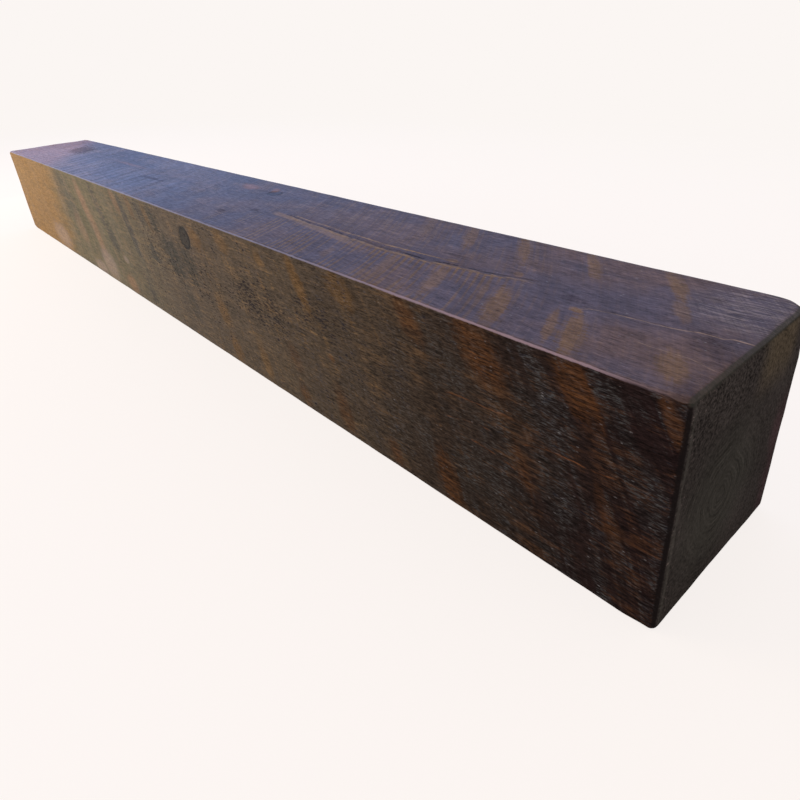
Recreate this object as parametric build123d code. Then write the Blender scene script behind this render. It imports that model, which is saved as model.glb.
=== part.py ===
"""Wood mantel: one solid stick of rough-sawn timber, squared, with its edges knocked off by hand.

+X runs along the beam, +Y towards the wall, +Z up. The origin is the middle of the underside.
Seen from the front, -Y, the right end is at +X.
"""

import os

from build123d import *

# Sawn sizes, in millimetres: 8 in by 8 in rough-sawn stock, a little scant in its depth, cut 6 ft long.
length = 1829.0
depth = 196.0
height = 203.0

# Easing radii. The four long edges are only just broken, and each end is rounded more.
long_edge_ease = 3.0
end_edge_ease = 7.0
upright_edge_ease = 6.0

# The top corner where the right end meets the wall face is rubbed rounder than the rest. Its radius
# in plan is greatest at the top, and shrinks to that of the other upright edges over the worn drop.
worn_corner_ease = 20.0
worn_drop = 45.0

# How far a cutting shape stands clear of the faces that it trims.
overcut = 5.0


def eased_rectangle(width, rise, radius):
    """A rectangle about the origin with its four corners rounded."""
    right = width / 2
    top = rise / 2
    corners = [(-right, -top), (right, -top), (right, top), (-right, top)]
    return make_face(FilletPolyline(*corners, radius=radius, close=True))


def eased_stick():
    """What the cross section, the plan and the front view have in common: each edge keeps its own radius."""
    cross_section = eased_rectangle(depth, height, long_edge_ease)
    plan = eased_rectangle(length, depth, upright_edge_ease)
    front_view = eased_rectangle(length, height, end_edge_ease)
    along = extrude(Plane.YZ * cross_section, length, both=True)
    upright = extrude(Plane.XY * plan, height, both=True)
    across = extrude(Plane.XZ * front_view, depth, both=True)
    return Pos(0, 0, height / 2) * (along & upright & across)


def corner_waste_outline(radius, level):
    """In plan, what lies outside a corner of this radius where the right end meets the wall face."""
    x = length / 2
    y = depth / 2
    outer_x = x + overcut
    outer_y = y + overcut
    round_edge = CenterArc((x - radius, y - radius), radius, 0, 90)
    wall_side = [(x - radius, y), (x - radius, outer_y)]
    end_side = [(outer_x, y - radius), (x, y - radius)]
    clear_edge = Polyline(*wall_side, (outer_x, outer_y), *end_side)
    return Pos(0, 0, level) * make_face([round_edge, clear_edge])


def corner_waste():
    """What wear has taken from that corner. Its radius grows evenly with height, and it runs out at both
    ends: below the worn drop it is inside the upright edge's own easing, and at the top it overshoots."""
    rise_per_radius = worn_drop / (worn_corner_ease - upright_edge_ease)
    least_radius = upright_edge_ease / 2
    most_radius = worn_corner_ease + overcut / rise_per_radius
    foot = height - (worn_corner_ease - least_radius) * rise_per_radius
    outlines = [corner_waste_outline(least_radius, foot), corner_waste_outline(most_radius, height + overcut)]
    return loft(outlines, ruled=True)


mantel_beam = eased_stick() - corner_waste()
mantel_beam.label = "mantel_beam"

os.makedirs("parts", exist_ok=True)
export_step(mantel_beam, "parts/mantel_beam.step")
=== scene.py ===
"""Wood mantel: dresses the beam in rough-sawn, dark stained timber and sets it on a pale floor.

Lengths are in metres, +X along the beam, +Y towards the wall, +Z up, as in the frame. A mark on a face is
placed by how far along the beam it is, and how far across the face: from the wall edge on the top and the
underside, and down from the top edge on the two upright faces.
"""

import math

import bmesh
import bpy
import numpy as np
from mathutils import Matrix, Vector, noise


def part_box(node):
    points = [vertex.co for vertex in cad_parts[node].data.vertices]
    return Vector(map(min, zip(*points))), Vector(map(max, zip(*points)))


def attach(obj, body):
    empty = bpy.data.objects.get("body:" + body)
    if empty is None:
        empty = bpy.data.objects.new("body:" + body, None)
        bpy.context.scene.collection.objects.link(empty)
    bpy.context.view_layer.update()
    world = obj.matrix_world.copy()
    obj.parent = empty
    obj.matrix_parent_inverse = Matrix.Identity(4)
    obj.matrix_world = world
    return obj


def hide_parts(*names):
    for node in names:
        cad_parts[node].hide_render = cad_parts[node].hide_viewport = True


bl_info = {
    "name": "Wood Mantel",
    "version": (1, 0, 0),
    "blender": (4, 5, 0),
    "location": "View3D > Sidebar > Mantel",
    "description": "Builds a rough-sawn timber mantel with its saw marks, knots, checks and stain",
    "category": "Object",
}

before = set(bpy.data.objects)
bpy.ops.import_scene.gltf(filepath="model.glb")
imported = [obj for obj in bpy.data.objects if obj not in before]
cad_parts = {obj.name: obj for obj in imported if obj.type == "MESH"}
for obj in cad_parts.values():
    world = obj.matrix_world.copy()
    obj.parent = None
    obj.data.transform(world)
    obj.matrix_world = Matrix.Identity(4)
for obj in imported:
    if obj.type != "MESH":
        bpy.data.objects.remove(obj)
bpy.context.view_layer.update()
NODE = "mantel_beam"
LOW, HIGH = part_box(NODE)
HALF = (HIGH - LOW) / 2
MIDDLE = (HIGH + LOW) / 2
LENGTH = HIGH.x - LOW.x

# The surface grid: how many gaps it has along each side, and how fine they get, as shares of a full gap.
COLUMNS = 440
DEPTH_ROWS = 54
HEIGHT_ROWS = 38
FAR_COLUMN = 2.2
EDGE_GAP = 0.13
CHECK_GAP = 0.13
CHECK_ROW = 24
CHECK_FINE_ROWS = 6

# Lines on the top, as places along the beam and across the face. The first two are the lips of one long
# drying check, and the next two are thin pale seams, the longer of which runs out over the right end.
CHECK_LINE = [
    (0.3, 0.106), (0.38, 0.111), (0.47, 0.116), (0.53, 0.119), (0.585, 0.1175), (0.625, 0.1125),
    (0.675, 0.106), (0.705, 0.1), (0.735, 0.093),
]
UPPER_CHECK_LINE = [
    (0.33, 0.1), (0.37, 0.1015), (0.455, 0.105), (0.515, 0.106), (0.555, 0.106), (0.585, 0.1025),
    (0.63, 0.1015),
]
SEAM_LINE = [
    (0.782, 0.124), (0.79, 0.1165), (0.806, 0.1125), (0.83, 0.109), (0.851, 0.1085), (0.866, 0.106),
    (0.873, 0.1025), (0.889, 0.1012), (0.896, 0.0975), (0.912, 0.0975),
]
LESSER_SEAM_LINE = [(0.845, 0.1425), (0.862, 0.144), (0.885, 0.1435), (0.908, 0.15)]
# The bared golden flank in front of the check's left part.
FLANK_LINE = [(0.275, 0.106), (0.3, 0.108), (0.35, 0.111), (0.4, 0.117), (0.44, 0.121), (0.51, 0.129)]
# Thin orange seams on the front.
FRONT_SEAMS = [
    [(0.699, 0.103), (0.740, 0.097), (0.770, 0.095), (0.790, 0.0935), (0.807, 0.0875), (0.822, 0.0855),
     (0.855, 0.0845), (0.878, 0.0800)],
    [(0.730, 0.1155), (0.755, 0.1170), (0.768, 0.1185), (0.798, 0.1240)],
    [(0.690, 0.0790), (0.730, 0.0765), (0.762, 0.0755), (0.784, 0.0740)],
]

# Knots: along the beam, across the face, half length, half width.
FRONT_KNOT = (0.170, 0.036, 0.0175, 0.0165)
TOP_KNOT = (0.183, 0.045, 0.014, 0.010)

# Marks of the stain, each given by how far along the beam it is, how far across the face, its half length,
# its half width and its strength. On the front: rubbed to rust, golden, darker, pale, torn and pitted;
# the torn fibres carry a painted sheen.
FRONT_RUBS = [
    (0.836, 0.024, 0.018, 0.027, 1.0), (0.742, 0.028, 0.024, 0.031, 1.0), (0.657, 0.022, 0.015, 0.022, 0.8),
    (0.906, 0.02, 0.008, 0.022, 0.8), (0.702, 0.176, 0.017, 0.032, 1.0), (0.537, 0.172, 0.015, 0.03, 0.8),
    (0.625, 0.185, 0.012, 0.018, 0.8), (0.79, 0.118, 0.008, 0.026, 0.6), (0.452, 0.184, 0.012, 0.018, 0.8),
    (0.441, 0.137, 0.014, 0.018, 0.6), (0.522, 0.108, 0.006, 0.006, 0.7), (0.87, 0.125, 0.008, 0.03, 0.5),
]
FRONT_GOLDS = [
    (0.473, 0.034, 0.013, 0.034, 0.9), (0.552, 0.02, 0.022, 0.02, 0.7), (0.255, 0.128, 0.018, 0.022, 0.8),
    (0.276, 0.18, 0.015, 0.022, 0.9), (0.292, 0.018, 0.018, 0.016, 0.7), (0.39, 0.022, 0.011, 0.01, 0.7),
    (0.358, 0.17, 0.013, 0.03, 0.6), (0.208, 0.03, 0.022, 0.016, 0.9), (-0.117, 0.022, 0.016, 0.024, 0.8),
    (-0.043, 0.02, 0.012, 0.024, 0.8), (0.027, 0.025, 0.01, 0.02, 0.7), (-0.29, 0.11, 0.022, 0.06, 0.8),
    (-0.143, 0.184, 0.03, 0.018, 0.9), (-0.325, 0.055, 0.024, 0.05, 0.9), (-0.4, 0.12, 0.03, 0.04, 0.5),
]
FRONT_SHADES = [
    (-0.233, 0.045, 0.02, 0.045, 0.7), (-0.19, 0.103, 0.024, 0.03, 0.7), (-0.072, 0.06, 0.016, 0.065, 0.9),
    (-0.04, 0.175, 0.014, 0.03, 0.6), (0.0, 0.025, 0.018, 0.022, 0.7), (0.024, 0.088, 0.022, 0.018, 0.9),
    (0.058, 0.028, 0.018, 0.02, 0.7), (0.11, 0.078, 0.038, 0.036, 0.8), (0.143, 0.142, 0.02, 0.03, 0.6),
    (0.16, 0.08, 0.035, 0.032, 0.7), (-0.45, 0.05, 0.06, 0.06, 0.5),
]
FRONT_PALES = [
    (-0.262, 0.17, 0.045, 0.034, 0.8), (-0.33, 0.19, 0.04, 0.016, 0.8), (-0.145, 0.136, 0.014, 0.008, 0.6),
    (-0.6, 0.17, 0.07, 0.03, 0.7),
]
FRONT_TORN = [
    (0.815, 0.06, 0.035, 0.026, 1.0), (0.87, 0.02, 0.02, 0.016, 0.9), (0.75, 0.148, 0.038, 0.03, 1.0),
    (0.826, 0.13, 0.018, 0.045, 0.9), (0.897, 0.085, 0.016, 0.05, 0.8), (0.868, 0.165, 0.02, 0.032, 0.8),
    (0.665, 0.14, 0.022, 0.032, 0.7), (0.7, 0.055, 0.03, 0.02, 0.6), (0.545, 0.115, 0.035, 0.03, 1.0),
    (0.47, 0.15, 0.03, 0.03, 0.7), (0.62, 0.15, 0.02, 0.035, 0.9),
]
FRONT_PITTED = [
    (0.37, 0.08, 0.07, 0.04, 1.0), (0.5, 0.068, 0.05, 0.026, 1.0), (0.6, 0.1, 0.06, 0.03, 0.5),
    (0.23, 0.1, 0.07, 0.05, 0.6), (0.06, 0.08, 0.08, 0.06, 0.5),
]
# The same for the top: warm saw bands, ruddy patches, darker patches, and where it is pitted.
TOP_RUBS = [
    (0.512, 0.03, 0.01, 0.034, 0.6), (0.581, 0.031, 0.011, 0.034, 0.8), (0.657, 0.031, 0.01, 0.036, 1.0),
    (0.737, 0.028, 0.008, 0.032, 1.0), (0.819, 0.028, 0.009, 0.03, 1.0), (0.846, 0.075, 0.008, 0.018, 0.5),
    (0.574, 0.148, 0.009, 0.034, 0.6), (0.645, 0.15, 0.011, 0.038, 0.7), (0.697, 0.14, 0.005, 0.02, 0.5),
    (0.728, 0.158, 0.012, 0.036, 1.0), (0.783, 0.124, 0.007, 0.005, 1.0), (0.785, 0.16, 0.006, 0.03, 0.7),
    (0.806, 0.162, 0.011, 0.034, 1.0), (0.883, 0.16, 0.012, 0.022, 0.9), (0.622, 0.1, 0.009, 0.004, 0.9),
    (0.697, 0.09, 0.007, 0.006, 0.7), (0.49, 0.162, 0.009, 0.014, 0.4),
]
TOP_RUDDY = [
    (0.103, 0.042, 0.026, 0.012, 1.0), (0.164, 0.032, 0.01, 0.01, 0.8), (-0.34, 0.08, 0.08, 0.006, 0.5),
    (0.305, 0.107, 0.012, 0.006, 0.5),
]
TOP_SHADES = [
    (-0.7, 0.075, 0.06, 0.036, 0.6), (-0.145, 0.113, 0.045, 0.007, 0.5), (0.207, 0.147, 0.011, 0.007, 0.7),
    (0.25, 0.117, 0.01, 0.005, 0.6), (0.612, 0.086, 0.014, 0.005, 0.4), (0.77, 0.106, 0.012, 0.006, 0.7),
    (0.893, 0.122, 0.016, 0.022, 0.4), (0.872, 0.1, 0.01, 0.01, 0.3), (0.905, 0.182, 0.01, 0.012, 0.5),
]
TOP_PITTED = [
    (0.445, 0.176, 0.04, 0.018, 0.6), (0.52, 0.164, 0.024, 0.024, 0.5), (0.425, 0.092, 0.1, 0.012, 0.4),
    (0.897, 0.12, 0.02, 0.022, 1.3),
]

# How saw marks lean and curve with the distance across a face, and where the crest of one of their bands is
# and how far apart the bands are. The comb is the finest set of marks on the top.
TOP_LEAN = (0.76, 0.9)
SIDE_LEAN = (0.55, 0.7)
TOP_CREST = 0.797
TOP_PITCH = 0.0765
SIDE_CREST = 0.823
SIDE_PITCH = 0.090
STROKE_PITCH = 0.0187
COMB_PITCH = 0.0086

# The end grain: where the heart is, as y and z, and the spacing of its broad and fine rings.
PITH = (-0.0205, 0.0855)
BROAD_RING = 0.0125
FINE_RING = 0.0042

# Tints of small marks on the upright faces.
LANE_TINT = (0.205, 0.145, 0.085)
NEAR_GOLD_TINT = (0.165, 0.094, 0.036)
FAR_GOLD_TINT = (0.270, 0.155, 0.090)
PALE_TINT = (0.300, 0.235, 0.205)
INK_TINT = (0.034, 0.034, 0.042)
OCHRE_TINT = (0.210, 0.125, 0.045)
FRONT_SEAM_TINT = (0.110, 0.045, 0.020)
FRONT_KNOT_TINT = (0.014, 0.015, 0.016)
# Tints of small marks on the top.
RUDDY_TINT = (0.230, 0.110, 0.070)
TOP_SHADE_TINT = (0.038, 0.032, 0.046)
TOP_TORN_TINT = (0.018, 0.018, 0.032)
BRUSHED_TINT = (0.235, 0.195, 0.190)
FLANK_TINT = (0.235, 0.150, 0.090)
CHECK_FLECK_TINT = (0.026, 0.012, 0.016)
CHECK_GOLD_TINT = (0.250, 0.150, 0.055)
CHECK_SHADOW_TINT = (0.012, 0.008, 0.008)
TOP_KNOT_TINT = (0.016, 0.013, 0.015)
# Tints of pits and of specks painted as glints, and of the edges, with their painted highlight and painted
# shade, and of the ends.
PIT_TINT = (0.015, 0.015, 0.021)
GLINT_TINT = (0.30, 0.30, 0.32)
FAR_EDGE_HIGHLIGHT_TINT = (0.195, 0.205, 0.310)
ROUND_END_TINT = (0.034, 0.036, 0.030)
UPRIGHT_SHADE_TINT = (0.010, 0.008, 0.008)
LIP_TINT = (0.075, 0.072, 0.062)
HEART_TINT = (0.0370, 0.0357, 0.0305)
RUDDY_END_TINT = (0.053, 0.032, 0.034)
NICK_TINT = (0.19, 0.14, 0.13)

# The camera, as it was solved from the beam's straight edges in the photograph. Angles are in degrees.
CAMERA_PLACE = Vector((1.0389, -0.4192, 0.4089))
CAMERA_AZIMUTH = 50.163
CAMERA_ELEVATION = 27.464
CAMERA_ROLL = 4.253
CAMERA_SHIFT = (-0.0089, -0.0601)


def a_length(name, description, default):
    """A length that a user might change."""
    return bpy.props.FloatProperty(name=name, description=description, default=default, unit="LENGTH")


def a_colour(name, description, default):
    """A colour that a user might change."""
    return bpy.props.FloatVectorProperty(
        name=name, description=description, default=default, subtype="COLOR")


class BeamSettings(bpy.types.PropertyGroup):
    """Sizes of the beam's surface that a user might change."""

    edge_ease: a_length("Long edge ease", "Radius of the four long edges", 0.003)
    end_ease: a_length("End ease", "Radius round each end", 0.007)
    upright_ease: a_length("Upright edge ease", "Radius of the upright edges", 0.006)
    worn_ease: a_length("Worn corner", "Worn corner's radius at the top", 0.020)
    worn_drop: a_length("Worn drop", "How far down the worn corner reaches", 0.045)
    wave_depth: a_length("Saw wave depth", "Depth of the broad saw waves", 0.0006)
    stroke_depth: a_length("Saw stroke depth", "Depth of the saw strokes", 0.00025)
    check_depth: a_length("Check depth", "Depth of the drying check", 0.0008)


class FinishSettings(bpy.types.PropertyGroup):
    """Colours of the stained timber."""

    dark: a_colour("Dark stain", "Stain on the front near the right end", (0.0138, 0.0076, 0.0076))
    # Painted glare: from dark through umber and olive to honey, the front lightens towards the left end,
    # partly as stain and partly as a painted reflection of the light at grazing angles.
    umber: a_colour("Umber stain", "Stain on the front at mid length", (0.096, 0.075, 0.054))
    olive_and_glare: a_colour("Olive stain", "Stain on the front left of the middle", (0.104, 0.092, 0.045))
    honey_and_glare: a_colour("Honey stain", "Thin stain on the front at the left end", (0.225, 0.128, 0.030))
    teal: a_colour("Teal", "Darker patches of stain on the front", (0.030, 0.033, 0.030))
    rust: a_colour("Rust", "Where the stain is rubbed thin", (0.087, 0.037, 0.014))
    tan: a_colour("Tan", "Thin stain along saw bands at the left end", (0.17, 0.105, 0.045))
    # Painted sheen: slate and ash stand in for the sky's reflection on torn fibres, near the right end and
    # at the left end.
    slate_sheen: a_colour("Slate", "Coat pooled on torn fibres near the right end", (0.047, 0.050, 0.051))
    ash: a_colour("Ash", "Coat pooled on torn fibres at the left end", (0.085, 0.072, 0.07))
    # Painted reflection: shelf and plum are lighter than the front's stain, and shelf bluer, standing in for
    # the sky's sheen on the top.
    shelf: a_colour("Shelf stain", "Stain on the top", (0.064, 0.052, 0.068))
    plum: a_colour("Plum", "Redder patches of the stain on the top", (0.084, 0.054, 0.048))
    shelf_warm: a_colour("Shelf bands", "Warm saw bands on the top", (0.185, 0.117, 0.084))
    gold: a_colour("Gold", "Golden saw marks at mid length on the top", (0.17, 0.095, 0.03))
    bare: a_colour("Bare seam", "Bare wood along a seam", (0.30, 0.21, 0.15))
    # Painted highlight: this colour stands in for the sky's reflection on the long upper edges near the
    # right end.
    worn: a_colour("Worn edge", "Edges that are rubbed through the stain", (0.305, 0.228, 0.272))
    end_grain: a_colour("End grain", "Stain drawn into the end grain", (0.0385, 0.0336, 0.0308))
    end_warm: a_colour("Warm end grain", "Browner patches of the end grain", (0.074, 0.059, 0.040))


class StageSettings(bpy.types.PropertyGroup):
    """Floor, light and camera."""

    backdrop: a_colour("Backdrop", "Colour of the floor and what lies behind", (0.965, 0.921, 0.896))
    sky: a_colour("Sky", "Colour of the wide soft lamp beyond the left end", (0.0, 0.29, 1.0))
    overhead: a_colour("Overhead", "Colour of the light from overhead", (0.62, 0.54, 0.52))
    floor_size: a_length("Floor size", "Width of the floor", 120.0)
    lens: bpy.props.FloatProperty(
        name="Lens", description="Focal length on a 36 mm sensor", default=27.58, subtype="DISTANCE_CAMERA")


def ramp(low, high, value):
    """Zero up to low, one from high, and a smooth step between. Low may be the greater. Works on arrays."""
    share = np.clip((value - low) / (high - low), 0, 1)
    return share * share * (3 - 2 * share)


def cut_places(half, gaps):
    """Places of the cuts from -half to half, with gaps in these proportions between them."""
    places = np.concatenate([[0.0], np.cumsum(gaps)])
    return half * (2 * places / places[-1] - 1)


def edge_gaps(count):
    """Gaps that are fine at both edges and even between."""
    order = np.minimum(np.arange(count), np.arange(count)[::-1])
    return np.minimum(1.0, EDGE_GAP * 1.35**order)


def check_gaps(count):
    """As edge_gaps, but fine again where the long check runs."""
    order = np.abs(np.arange(count) - CHECK_ROW + 0.5)
    return np.minimum(edge_gaps(count), CHECK_GAP * 1.28 ** np.maximum(order - CHECK_FINE_ROWS, 0))


def cut_across(mesh, axis, cuts):
    """Cuts every edge that runs along the axis."""
    along = [e for e in mesh.edges if abs(e.verts[0].co[axis] - e.verts[1].co[axis]) > 1e-6]
    bmesh.ops.subdivide_edges(mesh, edges=along, cuts=cuts, use_grid_fill=True)


def on_knot(place):
    """True near a knot, where the grid has to be finer."""
    if place.z > HIGH.z - 1e-4:
        across, knot = HIGH.y - place.y, TOP_KNOT
    elif place.y < LOW.y + 1e-4:
        across, knot = HIGH.z - place.z, FRONT_KNOT
    else:
        return False
    return math.hypot((place.x - knot[0]) / knot[2], (across - knot[1]) / knot[3]) < 1.9


def squared_block():
    """The beam before its edges are eased: a box whose faces are cut into a graded grid."""
    mesh = bmesh.new()
    bmesh.ops.create_cube(mesh, size=2)
    counts = (COLUMNS, DEPTH_ROWS, HEIGHT_ROWS)
    for axis, count in enumerate(counts):
        cut_across(mesh, axis, count - 1)
    column_gaps = np.linspace(FAR_COLUMN, 1.0, COLUMNS) * edge_gaps(COLUMNS)
    gaps = (column_gaps, check_gaps(DEPTH_ROWS), edge_gaps(HEIGHT_ROWS))
    places = [cut_places(HALF[axis], gaps[axis]) for axis in range(3)]
    for vertex in mesh.verts:
        steps = [round((vertex.co[axis] + 1) / 2 * counts[axis]) for axis in range(3)]
        vertex.co = [places[axis][steps[axis]] + MIDDLE[axis] for axis in range(3)]
    knots = [f for f in mesh.faces if on_knot(f.calc_center_median())]
    edges = list({e for f in knots for e in f.edges})
    bmesh.ops.subdivide_edges(mesh, edges=edges, cuts=2, use_grid_fill=True)
    return mesh


def line_at(line, along):
    """How far across a line is, at each place along the beam."""
    return np.interp(along, [p[0] for p in line], [p[1] for p in line])


def follow_check(points):
    """Bends the rows on the top so that one of them runs along the check and then along the seam."""
    rest = HALF.y - cut_places(HALF.y, check_gaps(DEPTH_ROWS))[CHECK_ROW]
    line = [(CHECK_LINE[0][0] - 0.1, rest), *CHECK_LINE, *SEAM_LINE]
    shift = line_at(line, points[:, 0]) - rest
    across = HIGH.y - points[:, 1]
    near = ramp(0.075, 0.012, np.abs(across - rest)) * ramp(HIGH.z - 0.02, HIGH.z, points[:, 2])
    points[:, 1] -= shift * near


def leaning(across, lean):
    """How far along the beam a saw mark has moved at this distance across the face."""
    return across * (lean[0] - across * lean[1])


def fractal(points, stretch, seed, octaves=3):
    """Smooth noise, about -1 to 1, at many points."""
    shift = Vector((seed * 7.31, seed * 3.17, seed * 5.59))
    scale = Vector(stretch)
    return np.array([noise.fractal(Vector(p) * scale + shift, 1.0, 2.0, octaves) for p in points])


def rounded(one, other):
    """Draws a pair of offsets, the greater of which is a radius, onto the circle of that radius."""
    share = np.maximum(one, other) / np.maximum(np.hypot(one, other), 1e-9)
    return one * share, other * share


def eased(points, settings):
    """Rounds the edges. Gives the places on the eased surface and the outward directions there."""
    local = points - np.array(MIDDLE)
    side = np.abs(local)
    gap = np.array(HALF) - side
    ease = settings.edge_ease + (settings.end_ease - settings.edge_ease) * ramp(0.030, 0.006, gap[:, 0])
    ease *= 1 + 0.2 * fractal(points, (26, 26, 26), 1)
    at_wall_end = (local[:, 0] > 0) & (local[:, 1] > 0)
    worn = np.clip(1 - (HALF.z - local[:, 2]) / settings.worn_drop, 0, 1) * at_wall_end
    corner = settings.upright_ease + (settings.worn_ease - settings.upright_ease) * worn
    corner = np.maximum(corner, ease)
    over_x, over_y = np.maximum(corner[:, None] - gap[:, :2], 0).T
    round_x, round_y = rounded(over_x, over_y)
    reach = np.maximum(np.hypot(round_x, round_y), 1e-9)
    over_side = np.maximum(ease - gap[:, :2].min(axis=1), 0)
    over_level = np.maximum(ease - gap[:, 2], 0)
    round_side, round_level = rounded(over_side, over_level)
    inward = over_side - round_side
    side[:, 0] += round_x - over_x - round_x / reach * inward
    side[:, 1] += round_y - over_y - round_y / reach * inward
    side[:, 2] += round_level - over_level
    outward = np.stack([round_x / reach * round_side, round_y / reach * round_side, round_level], axis=1)
    outward /= np.linalg.norm(outward, axis=1)[:, None]
    sign = np.where(local < 0, -1.0, 1.0)
    return side * sign + np.array(MIDDLE), outward * sign


def knot_dish(along, across, knot):
    """Depth of the ring round a knot and of its sunk middle."""
    far = np.hypot((along - knot[0]) / knot[2], (across - knot[1]) / knot[3])
    return 0.0009 * np.exp(-(((far - 1.0) / 0.12) ** 2)) + 0.0004 * ramp(1.0, 0.7, far)


def furrow(along, across, line, width, depth):
    """A narrow furrow along a line, fading at its two ends."""
    off = np.abs(across - line_at(line, along))
    start, stop = line[0][0], line[-1][0]
    fade = ramp(start - 0.004, start + 0.02, along) * ramp(stop + 0.004, stop - 0.02, along)
    return depth * fade * np.exp(-((off / width) ** 2))


def relief(points, outward, settings):
    """How deep the surface lies below the eased block, at each point."""
    along = points[:, 0]
    from_wall = HIGH.y - points[:, 1]
    from_top = HIGH.z - points[:, 2]
    on_top, on_base = ramp(0.6, 0.95, outward[:, 2]), ramp(0.6, 0.95, -outward[:, 2])
    on_front, on_wall = ramp(0.6, 0.95, -outward[:, 1]), ramp(0.6, 0.95, outward[:, 1])
    on_end = ramp(0.6, 0.95, np.abs(outward[:, 0]))
    depth = 0.0004 * (1 + fractal(points, (5, 9, 9), 2)) / 2
    rough = 0.5 + 0.5 * fractal(points, (9, 30, 30), 4)
    drift = 0.010 * fractal(points, (2.2, 1.5, 1.5), 3, 2)
    for mask, across, width, lean, pitch, crest in (
        (on_top + on_base, from_wall, 2 * HALF.y, TOP_LEAN, TOP_PITCH, TOP_CREST),
        (on_front + on_wall, from_top, 2 * HALF.z, SIDE_LEAN, SIDE_PITCH, SIDE_CREST),
    ):
        mask = mask * ramp(0.0, 0.014, np.minimum(across, width - across))
        lane = along - leaning(across, lean) + drift - crest
        wave = 0.5 - 0.5 * np.cos(2 * math.pi * lane / pitch)
        stroke = 0.5 - 0.5 * np.cos(2 * math.pi * lane / STROKE_PITCH)
        depth += mask * (settings.wave_depth * wave + settings.stroke_depth * stroke * rough)
    wander = on_top * (0.5 + 0.5 * fractal(points, (40, 60, 60), 6))
    for line, shift, width, share in (
        (CHECK_LINE, 0.003, 0.0014, 1.0),
        (UPPER_CHECK_LINE, 0.002, 0.0014, 0.6),
        (SEAM_LINE, 0.0, 0.0010, 0.4),
    ):
        depth += wander * furrow(along, from_wall + shift, line, width, settings.check_depth * share)
    depth += on_top * knot_dish(along, from_wall, TOP_KNOT)
    depth += on_front * knot_dish(along, from_top, FRONT_KNOT)
    depth += on_end * 0.0002 * (1 + fractal(points, (60, 60, 60), 5)) / 2
    return depth


class MANTEL_OT_beam(bpy.types.Operator):
    """Builds the beam with its eased edges and sawn faces"""

    bl_idname = "mantel.beam"
    bl_label = "Beam"

    def execute(self, context):
        settings = context.scene.mantel_beam
        block = squared_block()
        mesh = bpy.data.meshes.new("sawn_beam")
        block.to_mesh(mesh)
        block.free()
        flat = np.empty(len(mesh.vertices) * 3)
        mesh.vertices.foreach_get("co", flat)
        points = flat.reshape(-1, 3)
        follow_check(points)
        places, outward = eased(points, settings)
        places -= outward * relief(places, outward, settings)[:, None]
        mesh.vertices.foreach_set("co", places.ravel())
        facing = mesh.attributes.new("facing", "FLOAT_VECTOR", "POINT")
        facing.data.foreach_set("vector", outward.ravel().astype(np.float32))
        mesh.update()
        mesh.shade_smooth()
        beam = bpy.data.objects.new("sawn_beam", mesh)
        context.collection.objects.link(beam)
        mesh.materials.append(stained_timber(context.scene.mantel_finish))
        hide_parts(NODE)
        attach(beam, "root")
        return {"FINISHED"}


class Signal:
    """A value that varies over a surface. Sums with it add Math nodes."""

    def __init__(self, finish, socket):
        self.finish = finish
        self.socket = socket

    def __add__(self, other):
        return self.finish.math("ADD", self, other)

    def __radd__(self, other):
        return self.finish.math("ADD", other, self)

    def __sub__(self, other):
        return self.finish.math("SUBTRACT", self, other)

    def __rsub__(self, other):
        return self.finish.math("SUBTRACT", other, self)

    def __mul__(self, other):
        return self.finish.math("MULTIPLY", self, other)

    def __rmul__(self, other):
        return self.finish.math("MULTIPLY", other, self)

    def __neg__(self):
        return self.finish.math("MULTIPLY", self, -1.0)

    def __abs__(self):
        return self.finish.math("ABSOLUTE", self)


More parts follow.
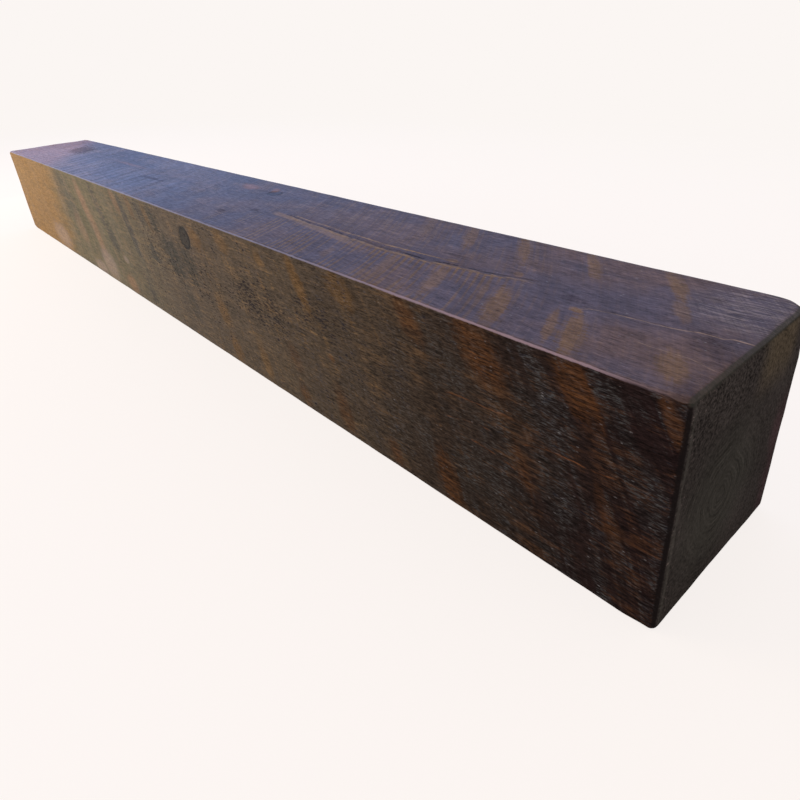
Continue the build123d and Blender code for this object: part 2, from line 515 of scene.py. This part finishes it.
class Finish:
    """A material or world whose nodes are being made."""

    def __init__(self, tree):
        self.tree = tree
        tree.nodes.clear()

    def node(self, kind, settings=None, inputs=None, output=0):
        """Adds a node: its settings first, then the values or links of its sockets."""
        made = self.tree.nodes.new(kind)
        for name, value in (settings or {}).items():
            if name == "points":
                draw_curve(made.mapping, value)
            else:
                setattr(made, name, value)
        for name, value in (inputs or {}).items():
            if isinstance(value, Signal):
                self.tree.links.new(value.socket, made.inputs[name])
            else:
                made.inputs[name].default_value = value
        return Signal(self, made.outputs[output]) if made.outputs else None

    def math(self, operation, *values):
        return self.node("ShaderNodeMath", {"operation": operation}, dict(enumerate(values)))

    def most(self, one, *others):
        for other in others:
            one = self.math("MAXIMUM", one, other)
        return one

    def step(self, low, high, value, most=1.0):
        """Zero up to low, most from high, and smooth between. Low may be the greater."""
        settings = {"interpolation_type": "SMOOTHSTEP"}
        inputs = {"Value": value, "From Min": low, "From Max": high, "To Max": most}
        return self.node("ShaderNodeMapRange", settings, inputs)

    def split(self, vector):
        """The three parts of a vector."""
        node = self.node("ShaderNodeSeparateXYZ", inputs={"Vector": vector}).socket.node
        return [Signal(self, socket) for socket in node.outputs]

    def stretched(self, vector, scale, shift=(0, 0, 0)):
        """A vector times a scale, plus a shift."""
        inputs = {0: vector, 1: scale, 2: shift}
        return self.node("ShaderNodeVectorMath", {"operation": "MULTIPLY_ADD"}, inputs)

    def length(self, vector):
        return self.node("ShaderNodeVectorMath", {"operation": "LENGTH"}, {0: vector}, output="Value")

    def noise(self, vector, detail=2.0, roughness=0.5):
        inputs = {"Vector": vector, "Scale": 1.0, "Detail": detail, "Roughness": roughness}
        return self.node("ShaderNodeTexNoise", inputs=inputs)

    def cells(self, vector):
        """How far from the middle of its cell each point is, and a random number for each cell."""
        node = self.node("ShaderNodeTexVoronoi", inputs={"Vector": vector, "Scale": 1.0}).socket.node
        return Signal(self, node.outputs["Distance"]), self.split(Signal(self, node.outputs["Color"]))[0]

    def blend(self, share, low, high):
        """From the low colour to the high one. A Mix node's sockets share names, so they go by number."""
        sockets = {0: share, 6: colour(low), 7: colour(high)}
        return self.node("ShaderNodeMix", {"data_type": "RGBA"}, sockets, output=2)

    def scaled(self, tint, amount):
        """A colour times a number."""
        return self.node("ShaderNodeVectorMath", {"operation": "SCALE"}, {0: tint, "Scale": amount})

    def waves(self, value, pitch):
        """A wave between 0 and 1, with a crest wherever the value is a whole number of pitches."""
        return self.math("COSINE", value * (2 * math.pi / pitch)) * 0.5 + 0.5

    def joined(self, x, y, z):
        """A vector of three parts."""
        return self.node("ShaderNodeCombineXYZ", inputs={"X": x, "Y": y, "Z": z})

    def line_height(self, along, points):
        """How far across the face a line is."""
        start, stop, reach = points[0][0], points[-1][0], 0.2
        curve = [((x - start) / (stop - start), y / reach) for x, y in points]
        share = (along - start) * (1 / (stop - start))
        return self.node("ShaderNodeFloatCurve", {"points": curve}, {"Value": share}) * reach

    def near_line(self, along, across, points, width):
        """One on a line, falling to zero at this width to either side of it, and at the line's ends."""
        ends = self.step(points[0][0], points[0][0] + 0.006, along)
        ends = ends * self.step(points[-1][0], points[-1][0] - 0.006, along)
        return self.step(width, width * 0.25, abs(across - self.line_height(along, points))) * ends


def draw_curve(mapping, points):
    """Gives a curve straight runs between the points."""
    curve = mapping.curves[0]
    curve.points[0].location = points[0]
    curve.points[1].location = points[-1]
    for point in points[1:-1]:
        curve.points.new(*point)
    for point in curve.points:
        point.handle_type = "VECTOR"
    mapping.update()


def colour(value):
    """A colour's four channels, or the signal that carries it."""
    return value if isinstance(value, Signal) else (*value, 1.0)


class Lay:
    """Where a point of the surface is, and the patterns that every face shares."""

    def __init__(self, make):
        self.make = make
        self.place = make.node("ShaderNodeTexCoord", output="Object")
        self.along, self.y, self.z = make.split(self.place)
        facing = make.node("ShaderNodeAttribute", {"attribute_name": "facing"}, output="Vector")
        end, side, level = make.split(facing)
        self.top = make.step(0.62, 0.80, level)
        self.front = make.step(0.62, 0.80, -side)
        self.end = make.step(0.70, 0.92, abs(end))
        self.flat = make.step(0.60, 0.80, abs(level))
        self.upward = make.step(0.0, 0.3, level)
        # How far down, how far across the face, and how far from the top or the front edge.
        self.z_down = HIGH.z - self.z
        self.across = self.flat * (HIGH.y - self.y) + (1 - self.flat) * self.z_down
        self.to_edge = make.math("MINIMUM", self.z_down, self.y - LOW.y)
        # How far from the right end, as a share of the length, and how near the camera that is.
        self.from_right = (HIGH.x - self.along) * (1 / LENGTH)
        self.near = make.step(0.42, 0.06, self.from_right)
        # Each arris is one in the middle of an eased edge, and zero on the flats.
        self.arris = abs(side * level) * 2
        self.upright_arris = abs(end * side) * 2
        self.end_arris = abs(end * level) * 2

        self.broad = make.noise(make.stretched(self.place, (5, 90, 90)), 4.0, 0.6)
        self.fibre = make.noise(make.stretched(self.place, (36, 620, 620)), 3.0, 0.7)
        self.dash = make.noise(make.stretched(self.place, (180, 1000, 1000), (1, 8, 5)), 2.0, 0.65)
        self.fleck = make.noise(make.stretched(self.place, (70, 290, 290), (6, 1, 9)), 2.0, 0.6)
        self.chip = make.noise(make.stretched(self.place, (120, 480, 480), (2, 7, 4)), 2.0, 0.6)
        self.cloud = make.noise(make.stretched(self.place, (7, 11, 11), (3, 1, 4)), 3.0, 0.55)
        # The saw's lanes lean across the face, and they wander a little.
        drift = (make.noise(make.stretched(self.place, (2.2, 1.5, 1.5), (9, 2, 6)), 2.0) - 0.5) * 0.02
        top_lean, side_lean = leaning(self.across, TOP_LEAN), leaning(self.across, SIDE_LEAN)
        straight_lane = self.along - (self.flat * top_lean + (1 - self.flat) * side_lean)
        self.lane = straight_lane + drift
        self.saw = make.noise(make.joined(self.lane * 170, self.across * 7, self.flat * 3), 3.0, 0.6)
        scratched = make.joined(self.lane * 560, self.across * 26, self.flat * 3 + 7)
        self.scratch = make.noise(scratched, 2.0, 0.6)
        self.swarm = make.noise(make.joined(self.lane * 34, self.across * 15, self.flat * 5), 2.0)

        self.spot = make.joined(straight_lane, self.across, 0.0)
        ragged = (self.fibre - 0.5) * 0.9 + (self.saw - 0.5) * 1.1 + (self.fleck - 0.5) * 1.1
        self.outer_rim = 1.22 - ragged
        self.inner_rim = 0.52 - ragged

    def marks(self, places, lean):
        """How much the stain is changed in these places, whose rims follow the grain and the saw marks."""
        make = self.make
        amounts = []
        for along, across, half_length, half_width, strength in places:
            scale = (1 / half_length, 1 / half_width, 0)
            shift = (-(along - leaning(across, lean)) / half_length, -across / half_width, 0)
            far = make.length(make.stretched(self.spot, scale, shift))
            amounts.append(make.step(self.outer_rim, self.inner_rim, far, strength))
        return make.most(*amounts)

    def on_front(self, places):
        """The marks in these places of the front."""
        return self.marks(places, SIDE_LEAN) * self.front

    def on_top(self, places):
        """The marks in these places of the top."""
        return self.marks(places, TOP_LEAN) * self.top


def stained_timber(colours):
    """Dark walnut stain under a satin coat on rough-sawn wood."""
    material = bpy.data.materials.new("stained_timber")
    material.use_nodes = True
    make = Finish(material.node_tree)
    lay = Lay(make)
    top_shade = lay.on_top(TOP_SHADES)
    side, side_torn = side_colour(make, lay, colours)
    top, top_torn = top_colour(make, lay, colours, top_shade)
    torn = make.most(side_torn * (1 - lay.flat), top_torn * lay.flat)
    pit = pitting(make, lay)
    # Painted shade: the rounds of the upright edges are made near black.
    upright = make.step(0.72, 0.97, lay.upright_arris)

    base = make.scaled(make.blend(lay.flat, side, top), grain(make, lay))
    base = make.blend(pit * 0.75, base, PIT_TINT)
    base = make.blend(painted_glints(make, lay, torn), base, GLINT_TINT)
    base = edge_highlights_and_ends(make, lay, base, colours)
    base = make.blend(lay.end, base, end_grain(make, lay, colours))
    base = make.blend(upright * 0.9, base, UPRIGHT_SHADE_TINT)
    lip = make.step(0.02, 0.12, lay.upright_arris) * make.step(0.60, 0.35, lay.upright_arris) * lay.end
    base = make.blend(lip * 0.35, base, LIP_TINT)

    gloss = coat(make, lay) * (1 - upright * 0.9) * (1 - pit * 0.6) * (1 - top_shade * 0.5)
    rough = 0.60 - gloss * (0.20 + lay.flat * 0.13) + (lay.fibre - 0.5) * 0.15
    height = lay.fibre * 0.30 + lay.broad * 0.4 + lay.saw * 0.25 + lay.fleck * 0.5 + torn * 0.25 - pit * 0.5
    bump = make.node("ShaderNodeBump", inputs={"Strength": 0.45, "Distance": 0.0010, "Height": height})
    satin = make.node("ShaderNodeBsdfPrincipled", inputs={
        "Base Color": base, "Roughness": rough, "IOR": 1.45, "Normal": bump})
    matt = make.node("ShaderNodeBsdfPrincipled", inputs={
        "Base Color": base, "Roughness": 1.0, "Specular IOR Level": 0.0, "Normal": bump})
    both = make.node("ShaderNodeMixShader", inputs={0: gloss, 1: matt, 2: satin})
    make.node("ShaderNodeOutputMaterial", inputs={"Surface": both})
    return material


def grain(make, lay):
    """How light the stain is along the grain, about one."""
    dashed = 0.6 + lay.near * (1.6 - lay.flat * 1.3) + make.step(0.62, 0.35, lay.from_right) * 0.6
    light = (lay.broad - 0.5) * 0.5 + (lay.fibre - 0.5) * (1.2 - lay.flat * 0.5)
    light = light + (lay.dash - 0.5) * dashed + (lay.fleck - 0.5) * 1.1
    light = light + (lay.scratch - 0.5) * 0.30 + (lay.chip - 0.5) * 0.6
    return make.most(light + 0.92, 0.28)


def pitting(make, lay):
    """Where the surface is pitted, which is mostly at mid length."""
    zone = make.most(lay.on_front(FRONT_PITTED), lay.on_top(TOP_PITTED))
    pit = lay.chip * 0.75 + lay.fleck * 0.25 + zone * 0.09 + (lay.swarm - 0.5) * 0.14 - lay.near * 0.04
    pit = make.step(0.58, 0.65, pit - lay.flat * 0.03)
    return pit * (1 - lay.flat * 0.4) * make.step(0.68, 0.48, lay.from_right)


def painted_glints(make, lay, torn):
    """Painted glints: bright specks for the sky's reflection on raised fibres, most on torn fibres near the
    right end.
    """
    off, pick = make.cells(make.stretched(lay.place, (180, 520, 520), (5, 5, 5)))
    speck = make.step(0.32, 0.18, off) * make.step(0.940, 0.950, pick)
    return speck * (0.10 + lay.near * 0.60) * (0.3 + torn * 0.7)


def coat(make, lay):
    """How glossy the coat is: least on the dark front and on the ends."""
    side = 0.07 + make.step(0.10, 0.62, lay.from_right) * 0.50
    gloss = lay.flat * (0.55 - make.step(0.62, 0.05, lay.from_right) * 0.25) + (1 - lay.flat) * side
    lanes = make.waves(lay.lane, 0.030) * make.step(0.085, 0.115, lay.across)
    lanes = (lanes * make.step(0.40, 0.60, lay.from_right) - 0.2) * lay.flat
    gloss = gloss * (0.36 + lay.saw * 0.45 + lay.fleck * 0.45 + lay.cloud * 0.35 + lanes * 0.16)
    return gloss * (1 - lay.end * 0.95)


def edge_highlights_and_ends(make, lay, base, colours):
    """Adds the painted sky highlight on the long upper edges, and the dull round of each end."""
    # The pale edge is a painted highlight: the sky's reflection on the upward rounds, pinkish near the right
    # end and bluer further left.
    worn = make.step(0.50, 0.97, lay.arris + (lay.fibre - 0.5) * 0.6 + (lay.saw - 0.5) * 0.5)
    worn = worn * make.step(0.003, 0.045, lay.from_right) * lay.upward
    edge = make.blend(make.step(0.30, 0.06, lay.from_right), FAR_EDGE_HIGHLIGHT_TINT, colours.worn)
    base = make.blend(worn * 0.9, base, edge)
    round_end = make.step(0.30, 0.75, lay.end_arris + (lay.fleck - 0.5) * 0.4)
    return make.blend(round_end * 0.75, base, ROUND_END_TINT)


def side_colour(make, lay, colours):
    """Colour of the upright faces and the underside, and where their fibres are torn."""
    # The front lightens towards the left end: partly stain, partly painted glare, the light's reflection at
    # grazing angles.
    share = lay.from_right + (lay.cloud - 0.5) * 0.08
    tone = make.blend(make.step(0.0, 0.32, share), colours.dark, colours.umber)
    tone = make.blend(make.step(0.40, 0.66, share), tone, colours.olive_and_glare)
    left = lay.from_right + (lay.cloud - 0.5) * 0.13 + (lay.broad - 0.5) * 0.09
    tone = make.blend(make.step(0.735, 0.835, left), tone, colours.honey_and_glare)
    lanes = make.waves(lay.lane - 0.02, 0.046) * 0.5 + (lay.swarm - 0.5) * 1.6 + (lay.saw - 0.5) * 0.8
    lanes = make.step(0.15, 0.70, lanes) * make.step(0.36, 0.52, lay.from_right)
    tone = make.blend(lanes * make.step(0.84, 0.76, left) * 0.26, tone, LANE_TINT)
    shade = lay.on_front(FRONT_SHADES)
    tone = make.blend(shade * 0.85, tone, colours.teal)
    gold = lay.on_front(FRONT_GOLDS)
    gold_tint = make.blend(make.step(0.50, 0.62, lay.from_right), NEAR_GOLD_TINT, FAR_GOLD_TINT)
    tone = make.blend(gold * 0.72, tone, gold_tint)
    pale = lay.on_front(FRONT_PALES)
    tone = make.blend(pale * 0.8, tone, PALE_TINT)

    zone = lay.on_front(FRONT_TORN)
    torn = make.step(0.50, 0.60, lay.dash) * make.step(0.36, 0.60, lay.fleck * 0.5 + lay.chip * 0.5)
    torn = torn * make.step(0.38, 0.72, lay.swarm + (lay.saw - 0.5) + zone * 0.20)
    # Painted sheen on the torn fibres, with a faint haze of it near the right end.
    sheen_haze = make.step(0.46, 0.66, lay.swarm + (lay.saw - 0.5) * 0.6 + zone * 0.22)
    torn_sheen = make.blend(lay.near, colours.ash, colours.slate_sheen)
    tone = make.blend(sheen_haze * lay.near * 0.10 + torn * (0.45 + lay.near * 0.30), tone, torn_sheen)
    tone = rubbed_side(make, lay, tone, torn, colours)

    wander = lay.across + (lay.cloud - 0.5) * 0.010 + (lay.fibre - 0.5) * 0.002
    seam = make.most(*[make.near_line(lay.along, wander, line, 0.0010) for line in FRONT_SEAMS])
    seam = seam * lay.front * make.step(0.42, 0.60, lay.broad * 0.4 + lay.fleck * 0.6)
    tone = make.blend(seam * 0.8, tone, FRONT_SEAM_TINT)
    knot = knot_stain(make, lay, FRONT_KNOT) * lay.front
    return make.blend(knot * 0.95, tone, FRONT_KNOT_TINT), torn


def rubbed_side(make, lay, tone, torn, colours):
    """Adds ink-dark and ochre streaks, the warm saw bands and the patches that are rubbed to rust."""
    middle = make.step(0.10, 0.28, lay.from_right) * make.step(0.64, 0.50, lay.from_right)
    ink = make.step(0.50, 0.62, lay.fleck * 0.4 + lay.chip * 0.6)
    ink = ink * make.step(0.42, 0.60, lay.saw * 0.5 + lay.swarm * 0.5)
    tone = make.blend(ink * (middle * 0.60 + lay.near * 0.30), tone, INK_TINT)
    ochre = make.step(0.52, 0.62, lay.fibre * 0.4 + lay.chip * 0.2 + lay.saw * 0.4) * middle
    tone = make.blend(ochre * 0.45, tone, OCHRE_TINT)
    band = make.waves(lay.lane - SIDE_CREST, SIDE_PITCH)
    warmth = band * 0.18 + (lay.broad - 0.5) * 1.1 + (lay.cloud - 0.5) * 0.7 + (lay.fibre - 0.5) * 1.1
    warmth = warmth + (lay.saw - 0.5) * 0.8 + (lay.fleck - 0.5) * 0.7 - torn * 0.25
    rust = make.blend(make.step(0.0, 0.28, lay.from_right), colours.rust, colours.tan)
    tone = make.blend(make.step(0.05, 0.60, warmth) * (0.38 + lay.near * 0.06), tone, rust)
    rub = lay.on_front(FRONT_RUBS)
    return make.blend(rub * (0.32 + make.step(0.40, 0.62, lay.fibre) * 0.48), tone, colours.rust)


def knot_stain(make, lay, knot):
    """One on a knot's rim, and less within it."""
    along, across, half_length, half_width = knot
    scale = (1 / half_length, 1 / half_width, 0)
    shift = (-along / half_length, -across / half_width, 0)
    far = make.length(make.stretched(make.joined(lay.along, lay.across, 0.0), scale, shift))
    far = far + (lay.fibre - 0.5) * 0.4
    return make.step(1.15, 0.95, far) * (0.75 + make.step(0.30, 0.05, abs(far - 0.92)) * 0.25)


def top_colour(make, lay, colours, shade):
    """Colour of the top, and where its fibres are torn."""
    band = make.waves(lay.lane - TOP_CREST, TOP_PITCH)
    halves = 1 - make.step(0.050, 0.005, abs(lay.across - 0.092)) * 0.8
    comb = make.waves(lay.lane, COMB_PITCH)
    sawn = 0.22 + make.step(0.110, 0.135, lay.across) * make.step(0.42, 0.30, lay.from_right) * 0.40
    warmth = band * 0.22 * halves + (comb - 0.5) * sawn + (lay.saw - 0.5) * 1.3 + (lay.swarm - 0.5) * 1.2
    warmth = warmth + (lay.broad - 0.5) * 0.5 + (lay.cloud - 0.5) * 0.9 + (lay.fleck - 0.5) * 0.8
    rub = lay.on_top(TOP_RUBS)
    warm = make.most(make.step(0.05, 0.60, warmth) * (0.66 - lay.near * 0.38), rub)
    tone = make.blend(make.step(0.38, 0.62, lay.cloud), colours.shelf, colours.plum)
    # Painted reflection: the top is made lighter towards the right end, standing in for the sky's sheen.
    light = make.step(0.34, 0.06, lay.from_right) * 0.18 + make.step(0.60, 0.35, lay.from_right) * 0.28
    tone = make.blend(warm * 0.68 + rub * lay.near * 0.24, make.scaled(tone, light + 1), colours.shelf_warm)
    # Painted reflection: the ruddy tint at the far left end of the top stands in for the pink glare there;
    # the listed ruddy patches are stain.
    left = lay.from_right + lay.across * 0.9 - 0.045 + (lay.saw - 0.5) * 0.02 + (lay.cloud - 0.5) * 0.05
    ruddy = make.most(lay.on_top(TOP_RUDDY), make.step(0.875, 0.950, left))
    tone = make.blend(ruddy * 0.8, tone, RUDDY_TINT)
    golden = make.step(0.06, 0.16, lay.from_right) * make.step(0.42, 0.30, lay.from_right)
    golden = golden * (0.35 + make.step(0.110, 0.130, lay.across) * 0.65)
    streak = (comb - 0.5) * 0.35 + (lay.saw - 0.5) * 1.5 + (lay.swarm - 0.5) * 1.3 + (lay.cloud - 0.5) * 0.8
    gilded = make.step(-0.02, 0.30, streak) * golden * 0.65
    gilded = make.most(gilded, rub * make.step(0.44, 0.20, lay.from_right) * 0.55)
    tone = make.blend(gilded, tone, colours.gold)
    tone = make.blend(shade * 0.7, tone, TOP_SHADE_TINT)

    torn = make.step(0.50, 0.64, lay.dash) * make.step(0.40, 0.62, lay.swarm)
    tone = make.blend(torn * 0.50, tone, TOP_TORN_TINT)
    brushed = make.step(0.46, 0.60, lay.fibre * 0.85 + lay.scratch * 0.15)
    brushed = brushed * make.step(0.055, 0.018, lay.from_right) * make.step(0.100, 0.060, lay.across)
    tone = make.blend(brushed * 0.65, tone, BRUSHED_TINT)
    tone = checked_top(make, lay, tone, comb, colours)
    knot = knot_stain(make, lay, TOP_KNOT) * lay.top
    return make.blend(knot * 0.7, tone, TOP_KNOT_TINT), torn


def checked_top(make, lay, tone, comb, colours):
    """Adds the long check, with its golden flank, teeth and lips, the painted shadow in its furrow, and the
    pale seams.
    """
    flank = lay.across - make.line_height(lay.along, FLANK_LINE)
    flank = make.step(0.0075, 0.0035, abs(flank) + (lay.fleck - 0.5) * 0.006)
    flank = flank * make.step(0.275, 0.30, lay.along) * make.step(0.505, 0.47, lay.along) * lay.top
    tone = make.blend(flank * 0.60, tone, FLANK_TINT)
    beside = lay.across - make.line_height(lay.along, CHECK_LINE)
    along_check = make.step(0.29, 0.34, lay.along) * make.step(0.74, 0.66, lay.along) * lay.top
    teeth = make.step(0.0, 0.003, beside) * make.step(0.030, 0.006, beside + (lay.fleck - 0.5) * 0.02)
    teeth = teeth * make.step(0.35, 0.85, comb * 0.8 + (lay.saw - 0.5) * 0.6 + 0.1)
    teeth = teeth * make.step(0.46, 0.52, lay.along)
    tone = make.blend(teeth * along_check * 0.65, tone, colours.gold)
    flecked = make.step(-0.026, -0.010, beside) * make.step(0.006, -0.002, beside)
    flecked = flecked * make.step(0.47, 0.58, lay.fleck * 0.5 + lay.dash * 0.5)
    flecked = flecked * make.step(0.70, 0.60, lay.along)
    tone = make.blend(flecked * along_check * 0.75, tone, CHECK_FLECK_TINT)
    beside = beside + (lay.fleck - 0.5) * 0.006
    broken = make.step(0.36, 0.60, lay.fleck * 0.6 + lay.saw * 0.4)
    gold_line = make.step(0.0036, 0.0012, abs(beside - 0.0012)) * (0.35 + broken * 0.65)
    tone = make.blend(gold_line * along_check * 0.9, tone, CHECK_GOLD_TINT)
    # Painted shadow: a dark line down the check's furrow.
    check_shadow = make.step(0.0014, 0.0006, abs(beside + 0.0034)) * make.step(0.45, 0.6, lay.fleck)
    tone = make.blend(check_shadow * along_check * 0.8, tone, CHECK_SHADOW_TINT)
    upper = make.near_line(lay.along, lay.across, UPPER_CHECK_LINE, 0.0024) * (0.2 + broken * 0.8)
    tone = make.blend(upper * lay.top * 0.9, tone, CHECK_GOLD_TINT)
    lesser = make.near_line(lay.along, lay.across, LESSER_SEAM_LINE, 0.0008) * 0.5
    pale = make.most(make.near_line(lay.along, lay.across, SEAM_LINE, 0.0012), lesser) * lay.top
    return make.blend(pale * (0.25 + make.step(0.35, 0.60, lay.fibre) * 0.6), tone, colours.bare)


def end_grain(make, lay, colours):
    """Rings of one heart, speckled and dark."""
    wobble = make.noise(make.stretched(lay.place, (20, 20, 20), (2, 7, 1)), 3.0)
    speckle = make.noise(make.stretched(lay.place, (340, 340, 340)), 3.0, 0.8)
    patch = make.noise(make.stretched(lay.place, (34, 34, 34), (4, 4, 8)), 2.0)
    from_pith = make.joined(0.0, lay.y - PITH[0], lay.z - PITH[1])
    far = make.length(from_pith) + (wobble - 0.5) * 0.030
    fine_ring = make.waves(far, FINE_RING)
    ring = make.waves(far, BROAD_RING) * 0.45 + fine_ring * fine_ring * 0.55
    heart = make.step(0.085, 0.030, far)
    corner = make.step(0.055, 0.020, lay.z_down) * make.step(0.04, -0.02, lay.y)
    light = (ring - 0.5) * (0.16 + heart * make.step(0.38, 0.62, patch) * 0.60) + (wobble - 0.5) * 0.9
    light = light + (speckle - 0.5) * (2.6 + corner * 2.0 - heart * 1.2) + 0.95 + heart * 0.10
    tint = make.blend(heart * 0.8, colours.end_grain, HEART_TINT)
    brown = make.step(0.060, 0.020, lay.z_down) * make.step(0.0, 0.03, lay.y)
    tint = make.blend(brown * make.step(0.085, 0.060, lay.y) * 0.9, tint, colours.end_warm)
    ruddy = make.step(0.060, 0.085, lay.y + (wobble - 0.5) * 0.04) * make.step(0.06, 0.10, lay.z_down)
    tint = make.blend(ruddy * 0.7, tint, RUDDY_END_TINT)
    nick = make.step(0.62, 0.70, speckle) * make.step(0.020, 0.006, lay.to_edge)
    nick = nick * make.step(-0.045, -0.075, lay.y)
    return make.blend(nick * 0.7, make.scaled(tint, make.most(light, 0.15)), NICK_TINT)


def backdrop_finish(settings):
    """A pale floor. It glows evenly where it is looked at, but near the beam part of it is lit, and so takes
    the beam's shadow."""
    material = bpy.data.materials.new("pale_floor")
    material.use_nodes = True
    make = Finish(material.node_tree)
    lit = make.node("ShaderNodeBsdfDiffuse", inputs={"Color": colour(settings.backdrop)})
    place = make.stretched(make.node("ShaderNodeTexCoord", output="Object"), (0.5, 1.0, 0.0))
    away = make.step(0.7, 2.2, make.length(place))
    tint = make.scaled(settings.backdrop, 1.065 - away * 0.065)
    plain = make.node("ShaderNodeEmission", inputs={"Color": tint})
    share = looked_at(make) * (0.82 + away * 0.18)
    both = make.node("ShaderNodeMixShader", inputs={0: share, 1: lit, 2: plain})
    make.node("ShaderNodeOutputMaterial", inputs={"Surface": both})
    return material


def looked_at(make):
    """One for the camera's rays, and for those of reflections."""
    path = make.node("ShaderNodeLightPath").socket.node
    kinds = ("Is Camera Ray", "Is Glossy Ray", "Is Transmission Ray")
    return make.most(*[Signal(make, path.outputs[kind]) for kind in kinds])


def light_world(world, settings):
    """Pale all round, and a little dimmer overhead."""
    world.use_nodes = True
    make = Finish(world.node_tree)
    height = make.split(make.node("ShaderNodeTexCoord", output="Generated"))[2]
    tint = make.blend(make.step(0.40, 0.70, height), settings.backdrop, settings.overhead)
    light = make.node("ShaderNodeBackground", inputs={"Color": tint, "Strength": 1.0})
    make.node("ShaderNodeOutputWorld", inputs={"Surface": light})


def add_softbox(name, place, target, size, power, tint):
    """A soft lamp that looks at the target and isn't seen itself."""
    lamp = bpy.data.lights.new(name, "AREA")
    lamp.shape = "RECTANGLE"
    lamp.size, lamp.size_y = size
    lamp.energy = power
    lamp.color = tint
    holder = bpy.data.objects.new(name, lamp)
    holder.location = place
    holder.rotation_euler = (Vector(target) - Vector(place)).to_track_quat("-Z", "Y").to_euler()
    holder.visible_camera = False
    bpy.context.collection.objects.link(holder)


def add_camera(lens):
    """The photograph's viewing angle, with its slight roll."""
    camera = bpy.data.objects.new("camera", bpy.data.cameras.new("camera"))
    azimuth, elevation = math.radians(CAMERA_AZIMUTH), math.radians(CAMERA_ELEVATION)
    level = Vector((-math.sin(azimuth), math.cos(azimuth), 0))
    forward = level * math.cos(elevation) - Vector((0, 0, math.sin(elevation)))
    roll = Matrix.Rotation(math.radians(CAMERA_ROLL), 4, forward)
    turn = forward.to_track_quat("-Z", "Y").to_matrix().to_4x4()
    camera.matrix_world = Matrix.Translation(CAMERA_PLACE) @ roll @ turn
    camera.data.lens = lens
    camera.data.shift_x, camera.data.shift_y = CAMERA_SHIFT
    camera.data.clip_start = 0.01
    bpy.context.collection.objects.link(camera)
    bpy.context.scene.camera = camera


class MANTEL_OT_stage(bpy.types.Operator):
    """Sets the floor, the lamps and the camera"""

    bl_idname = "mantel.stage"
    bl_label = "Stage"

    def execute(self, context):
        settings = context.scene.mantel_stage
        sheet = bmesh.new()
        bmesh.ops.create_grid(sheet, x_segments=1, y_segments=1, size=settings.floor_size / 2)
        mesh = bpy.data.meshes.new("floor")
        sheet.to_mesh(mesh)
        sheet.free()
        mesh.materials.append(backdrop_finish(settings))
        floor = bpy.data.objects.new("floor", mesh)
        context.collection.objects.link(floor)
        context.scene.world = bpy.data.worlds.new("studio")
        light_world(context.scene.world, settings)
        # The place of each lamp, what it looks at, its width and height, its power and its colour.
        add_softbox("sky", (-6.55, 4.59, 2.9), (0, 0, 0.2), (18, 3.4), 500, settings.sky)
        add_softbox("key", (-1.6, -1.35, 1.0), (-0.5, -0.1, 0.1), (1.4, 0.9), 26, (1.0, 0.78, 0.52))
        add_softbox("rim", (-3.0, 0.44, 0.75), (-0.9, 0.0, 0.2), (0.35, 0.9), 0.9, (1.0, 0.60, 0.42))
        add_softbox("glow", (-1.35, -0.25, 0.2), (-0.9, -0.15, 0.1), (0.5, 0.4), 0.4, (1.0, 0.62, 0.30))
        add_camera(settings.lens)
        context.scene.view_settings.view_transform = "Standard"
        return {"FINISHED"}


class MANTEL_PT_panel(bpy.types.Panel):
    """Lists the steps and their sizes"""

    bl_idname = "MANTEL_PT_panel"
    bl_label = "Wood Mantel"
    bl_space_type = "VIEW_3D"
    bl_region_type = "UI"
    bl_category = "Mantel"

    def draw(self, context):
        scene = context.scene
        steps = {
            MANTEL_OT_beam: (scene.mantel_beam, scene.mantel_finish),
            MANTEL_OT_stage: (scene.mantel_stage,),
        }
        for operator, groups in steps.items():
            box = self.layout.box()
            for group in groups:
                for name in group.bl_rna.properties.keys():
                    if name not in ("rna_type", "name"):
                        box.prop(group, name)
            box.operator(operator.bl_idname)


GROUPS = {"mantel_beam": BeamSettings, "mantel_finish": FinishSettings, "mantel_stage": StageSettings}
CLASSES = (*GROUPS.values(), MANTEL_OT_beam, MANTEL_OT_stage, MANTEL_PT_panel)


def register():
    for kind in CLASSES:
        bpy.utils.register_class(kind)
    for name, kind in GROUPS.items():
        setattr(bpy.types.Scene, name, bpy.props.PointerProperty(type=kind))


def unregister():
    for name in GROUPS:
        delattr(bpy.types.Scene, name)
    for kind in reversed(CLASSES):
        bpy.utils.unregister_class(kind)


def main():
    register()
    bpy.ops.mantel.beam()
    bpy.ops.mantel.stage()


if __name__ == "__main__":
    main()
